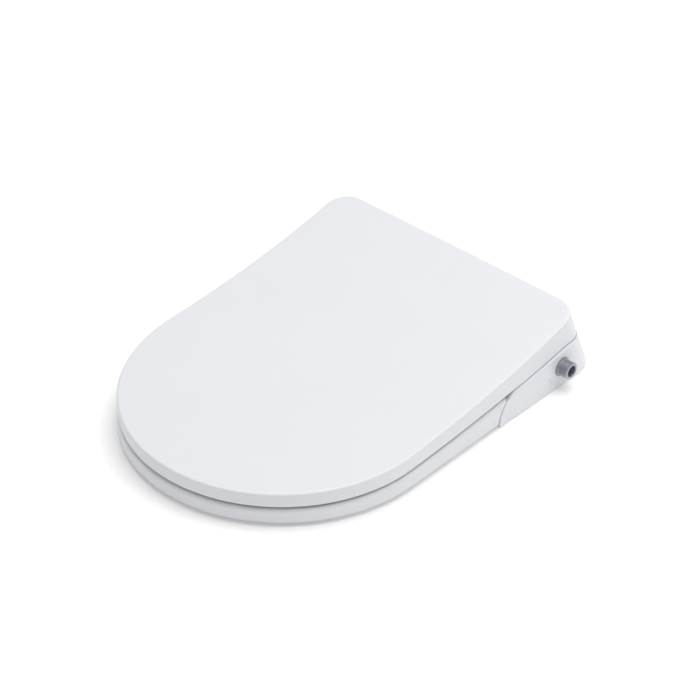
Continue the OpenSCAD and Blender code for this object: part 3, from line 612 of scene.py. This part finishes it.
# --- seat ring ---------------------------------------------------------------------------------------
seat_lo, seat_hi = box_mm("seat_bottom")
SEAT_PROUD = seat_hi.x - NOSE_R
SEAT_LOW = seat_lo.z
CHEEK_Y, CHEEK_Z = -61, 4
SEAT_END_R = 36.4
HOLE_R, HOLE_Y, HOLE_REAR, HOLE_CORNER = 105, -267, -118, 62


def seat_rear(z):
    """Rear end of the ring, which follows the housing's round cheeks."""
    return CHEEK_Y - sqrt(SEAT_END_R**2 - min(z - CHEEK_Z, 30) ** 2)


def ring_outer(inset, z_at):
    return d_loop(inset - SEAT_PROUD, z_at, lambda z: seat_rear(z) - inset, 3, 3)


def ring_hole(grow, z_at):
    """Loop round the opening, with as many points as the outer one."""
    n_nose, n_side, n_corner, n_rear = COUNTS
    r = HOLE_R + grow
    corner_x, corner_y = HOLE_R - HOLE_CORNER, HOLE_REAR - HOLE_CORNER
    flat = [(r * sin(pi / 2 * f), HOLE_Y - r * cos(pi / 2 * f)) for f in steps(n_nose)[:-1]]
    flat += [(r, mix(HOLE_Y, corner_y, f)) for f in steps(n_side)[:-1]]
    bend = HOLE_CORNER + grow
    for f in steps(n_corner)[:-1]:
        turn = pi / 2 * f
        flat.append((corner_x + bend * cos(turn), corner_y + bend * sin(turn)))
    flat += [(corner_x * (1 - f), HOLE_REAR + grow) for f in steps(n_rear)]
    flat[0], flat[-1] = (0, flat[0][1]), (0, flat[-1][1])
    return both_halves([Vector((x, y, z_at(x, y))) for x, y in flat])


def ring_skin():
    """Ring with a soft outer edge, a top that dips towards the opening, and a rounder inner edge."""
    # The heating foil lies 2.9 below the ring's top, so the dip stays under that
    edge, inner, foot, dip = 6.0, 8.5, 3.0, 2.2
    dipped = lambda x, y: seat_top(y) - dip
    loops = []
    for f in steps(4):
        turn = pi / 2 * f
        loops.append(ring_outer(foot * (1 - sin(turn)), lambda x, y: SEAT_LOW + foot * (1 - cos(turn))))
    for f in (0.2, 0.4, 0.6, 0.8):
        loops.append(ring_outer(0, lambda x, y: mix(SEAT_LOW + foot, seat_top(y) - edge, f)))
    for f in steps(7):
        turn = pi / 2 * f
        loops.append(ring_outer(edge * (1 - cos(turn)), lambda x, y: seat_top(y) - edge * (1 - sin(turn))))
    start, stop = loops[-1], ring_hole(inner, dipped)
    for f in steps(12)[1:-1]:
        ease = max(0, (f - 0.35) / 0.65) ** 2 * (3 - 2 * max(0, (f - 0.35) / 0.65))
        row = []
        for a, b in zip(start, stop):
            x, y = mix(a.x, b.x, f), mix(a.y, b.y, f)
            row.append(Vector((x, y, seat_top(y) - dip * ease)))
        loops.append(row)
    for f in steps(7):
        turn = pi / 2 * f
        grow, drop = inner * (1 - sin(turn)), inner * (1 - cos(turn))
        loops.append(ring_hole(grow, lambda x, y: dipped(x, y) - drop))
    for f in (0.35, 0.7):
        loops.append(ring_hole(0, lambda x, y: mix(dipped(x, y) - inner, SEAT_LOW + foot, f)))
    for f in steps(4):
        turn = pi / 2 * f
        loops.append(ring_hole(foot * (1 - cos(turn)), lambda x, y: SEAT_LOW + foot * (1 - sin(turn))))
    return loft(loops, closed=True)


def ring_arch():
    """What is cut from under the ring's rear for the nozzles and their shield."""
    shape = [(-66, -20), (-66, 22), (-30, 22), (-30, 27.5), (30, 27.5), (30, 22), (66, 22), (66, -20)]
    return plate([round_corners(shape, [0, 3, 2, 2, 2, 2, 3, 0])], 50, 130, 0.01, FRONT, 0)


def ring_arms():
    """Arms that reach back into the housing's channels, each with its bored lug."""
    arm = round_corners([(-97, 22.4), (25, 50.8), (30, 55.5), (30, 67), (-97, 33.6)], [0, 3, 3, 4, 0])
    eye = arc(HINGE_Y, HINGE_Z, LUG_R, -85, 85, 22)
    lug = [(26, 54), (HINGE_Y, HINGE_Z - LUG_R + 0.4)] + eye + [(28, 66)]
    bore = circle(HINGE_Y, HINGE_Z, SHAFT_R + RUN_GAP)
    made = []
    for side in (-1, 1):
        for shape, near, far, bevel in (([arm], 69, 99, 2.4), ([lug, bore], 69, 87, 0.8)):
            low, high = sorted((side * near, side * far))
            made.append(plate(shape, low, high, bevel, SIDE))
    return made


def make_ring():
    whole = to_object("whole", ring_skin(), 1)
    cut_away(whole, to_object("arch", ring_arch(), 1))
    bm = bmesh.new()
    bm.from_mesh(whole.data)
    bpy.data.objects.remove(whole)
    ring = to_object("seat_ring", add_all(bm, ring_arms()))
    smooth(ring, 38)
    return piece(ring, "seat_top", "seat_bottom")


# --- pieces that keep the CAD's shape, with their edges rounded --------------------------------------
def rounded(node, width, segments=3, angle=32, weight=None, name=None):
    """A new piece with a CAD node's shape, its flat faces whole and its edges rounded by a bevel.
    weight(edge) gives the share of the width that an edge takes."""
    bm = bmesh.new()
    bm.from_mesh(frame["nodes"][node].data)
    bmesh.ops.remove_doubles(bm, verts=bm.verts, dist=2e-6)
    bmesh.ops.dissolve_limit(bm, angle_limit=radians(0.5), verts=bm.verts, edges=bm.edges)
    layer = bm.edges.layers.float.new("bevel_weight_edge")
    for e in bm.edges:
        if len(e.link_faces) == 2 and e.calc_face_angle(0) > radians(angle):
            e[layer] = weight(e) if weight else 1
    obj = to_object(name or node + "_piece", bm, 1)
    smooth(obj, angle)
    bevel = obj.modifiers.new("bevel", "BEVEL")
    bevel.limit_method, bevel.width, bevel.segments = "WEIGHT", width * MM, segments
    bevel.use_clamp_overlap, bevel.harden_normals = False, True
    return piece(obj, node)


HOUSING_HALF_W = box_mm("housing_cover")[1].x


def housing_weight(edge):
    """The outer edge of the cheeks and of the rear is softest, and the edges inside are crisp."""
    normals = [f.normal for f in edge.link_faces]
    middle = (edge.verts[0].co + edge.verts[1].co) / 2 / MM
    if middle.z < 1.5:
        return 0.25
    on_side = [n for n in normals if abs(n.x) > 0.99]
    at_side = abs(abs(middle.x) - HOUSING_HALF_W) < 0.3
    if on_side and at_side:
        at_inlet = abs(middle.y - INLET_Y) < 17 and abs(middle.z - INLET_Z) < 16
        at_buttons = middle.x < 0 and middle.z < 36 and -50 < middle.y < 48
        mark = middle.x > 0 and -13 < middle.y < -1 and 12 < middle.z < 24
        return 0.3 if at_inlet or at_buttons or mark else 1.0
    if middle.z > 45 and middle.y > 40 and any(n.z > 0.9 for n in normals):
        return 0.5
    return 0.25


def make_housing():
    return rounded("housing_cover", 1.6, 4, weight=housing_weight, name="housing")


# --- water inlet -----------------------------------------------------------------------------------
INLET_Y, INLET_Z = 13, 28
PITCH = 1.814
THREAD_R, THREAD_DEEP = 10.48, 1.16
INLET_END = box_mm("water_inlet")[1].x


def about_inlet(profile, turns=72, helix=None):
    """Skin of revolution about the inlet's axis. Each profile point is (x, radius); helix(x, turn) adds
    to the radius where the profile says so."""
    loops = []
    for x, radius, threaded in profile:
        row = []
        for i in range(turns):
            a = 2 * pi * i / turns
            r = radius + (helix(x, i / turns) if threaded else 0)
            row.append(Vector((x, INLET_Y + r * cos(a), INLET_Z + r * sin(a))))
        loops.append(row)
    return loft(loops, closed=True)


def thread_cut(x, turn):
    """How far the thread's surface lies under its crest, with rounded crests and roots."""
    start, stop = INLET_END - 12.2, INLET_END - 0.9
    phase = (x / PITCH - turn) % 1
    tooth = 0.5 - 0.5 * cos(2 * pi * phase)
    deep = THREAD_DEEP * min(1, max(0, tooth * 1.35 - 0.12))
    fade = min(1, max(0, (x - start) / 1.2)) * min(1, max(0, (stop - x) / 0.6))
    return -deep * fade


def make_inlet():
    """Threaded inlet: flange, collar, helical half-inch thread, chamfered end and stepped bore."""
    wall_x, end, bore, step = HOUSING_HALF_W, INLET_END, 7, 4
    outer = [(168, 9, 0), (168, THREAD_R, 0), (177.6, THREAD_R, 0), (178, 14.6, 0), (178.4, 15, 0),
             (183.2, 15, 0), (183.6, 14.6, 0), (183.6, THREAD_R, 0), (wall_x, THREAD_R, 0),
             (wall_x, 11.3, 0),
             (wall_x + 0.1, 11.65, 0), (wall_x + 0.35, 11.75, 0), (wall_x + 0.7, 11.75, 0),
             (wall_x + 0.93, 11.6, 0), (wall_x + 1, 11.3, 0), (wall_x + 1, THREAD_R, 0)]
    first, last = wall_x + 1.2, end - 0.9
    count = 84
    outer += [(mix(first, last, f), THREAD_R, 1) for f in steps(count)]
    outer += [(end - 0.25, THREAD_R - 0.75, 0), (end - 0.06, THREAD_R - 1.0, 0), (end, THREAD_R - 1.25, 0),
              (end, bore + 0.55, 0), (end - 0.08, bore + 0.3, 0), (end - 0.5, bore + 0.02, 0),
              (end - 1, bore, 0), (188, bore, 0), (183.2, bore, 0), (183, bore - 0.3, 0), (183, step, 0),
              (168, step, 0)]
    inlet = to_object("inlet", about_inlet(outer, helix=thread_cut))
    smooth(inlet, 30)
    return piece(inlet, "water_inlet")


# --- everything else ---------------------------------------------------------------------------------
ROUNDED = {  # node: width of its rounded edges in millimetres
    "lid_bumpers": 1.0, "seat_bumpers": 1.0, "lid_shaft": 0.5, "seat_shaft": 0.5, "lid_damper": 0.5,
    "seat_damper": 0.5, "base_plate": 0.5, "mounting_plate": 0.6, "base_pads": 0.4, "base_screws": 0.12,
    "release_button": 0.5, "inlet_filter": 0.12, "inlet_seal": 0.25, "solenoid_valve": 0.6,
    "flow_sensor": 0.4, "heater_tank": 0.6, "tank_cover": 0.5, "diverter_valve": 0.4, "diverter_motor": 0.4,
    "air_pump": 0.5, "nozzle_carrier": 0.3, "nozzle_shield": 0.5, "rear_nozzle": 0.15, "front_nozzle": 0.15,
    "rear_nozzle_tip": 0.15, "front_nozzle_tip": 0.15, "rear_nozzle_motor": 0.5, "front_nozzle_motor": 0.5,
    "rear_pinion": 0.12, "front_pinion": 0.12, "fan_housing": 0.4, "fan_wheel": 0.12, "dryer_duct": 0.4,
    "dryer_grille": 0.3, "board_tray": 0.3, "control_board": 0.2, "power_module": 0.5, "cord_gland": 0.5,
    "gland_plate": 0.3, "aux_panel": 0.35, "stop_button": 0.5, "rear_wash_button": 0.5,
    "front_wash_button": 0.5, "button_board": 0.2, "sensor_window": 0.4, "night_light": 0.3,
}


def dress_cad():
    """Every CAD node gets its finish, and the ones that show get rounded edges."""
    for node, obj in frame["nodes"].items():
        paint(obj, NODE_SLOT[node])
    for node, width in ROUNDED.items():
        if node in frame["nodes"]:
            rounded(node, width, 2)


# --- stage -----------------------------------------------------------------------------------------
def make_floor():
    bpy.ops.mesh.primitive_plane_add(size=30, location=(0, 0, -0.0002))
    floor = bpy.context.active_object
    floor.name = "floor"
    floor.data.materials.append(floor_paint("floor_paint"))


def aim(obj, place, target):
    obj.location = place
    obj.rotation_mode = "QUATERNION"
    obj.rotation_quaternion = (Vector(target) - Vector(place)).to_track_quat("-Z", "Y")


def add_light(name, place, size, power, tint=(1, 1, 1)):
    """Square soft box aimed at the seat."""
    data = bpy.data.lights.new(name, "AREA")
    data.shape, data.size, data.energy, data.color = "SQUARE", size, power, tint
    lamp = bpy.data.objects.new(name, data)
    bpy.context.scene.collection.objects.link(lamp)
    aim(lamp, place, (0, -0.17, 0.03))


def make_lights():
    world = bpy.data.worlds.new("studio")
    bpy.context.scene.world = world
    world.use_nodes = True
    backdrop = world.node_tree.nodes["Background"]
    backdrop.inputs["Color"].default_value = (1, 1, 1, 1)
    backdrop.inputs["Strength"].default_value = 0.38
    add_light("key", (2.6, 1.5, 2.4), 2.4, 18)
    add_light("top", (0.2, 0.3, 3.2), 3.0, 84)
    add_light("fill", (-1.6, -2.6, 1.6), 2.4, 0.5)


def make_camera():
    """The photograph's view: azimuth and elevation about a point in the seat's middle."""
    azimuth, elevation, distance = radians(43.01), radians(36.05), 2.7707
    target = Vector((0, -0.145, 0.040))
    back = Vector((sin(azimuth) * cos(elevation), -cos(azimuth) * cos(elevation), sin(elevation)))
    data = bpy.data.cameras.new("camera")
    data.lens, data.sensor_width = 123.65, 36
    data.shift_x, data.shift_y = 0.0029, 0.0014
    data.clip_start, data.clip_end = 0.1, 60
    camera = bpy.data.objects.new("camera", data)
    bpy.context.scene.collection.objects.link(camera)
    camera.location = target + back * distance
    camera.rotation_mode = "QUATERNION"
    camera.rotation_quaternion = (-back).to_track_quat("-Z", "Y")
    bpy.context.scene.camera = camera
    bpy.context.scene.view_settings.view_transform = "Standard"


make_camera()
dress_cad()
make_lid()
make_ring()
make_housing()
make_inlet()
make_floor()
make_lights()
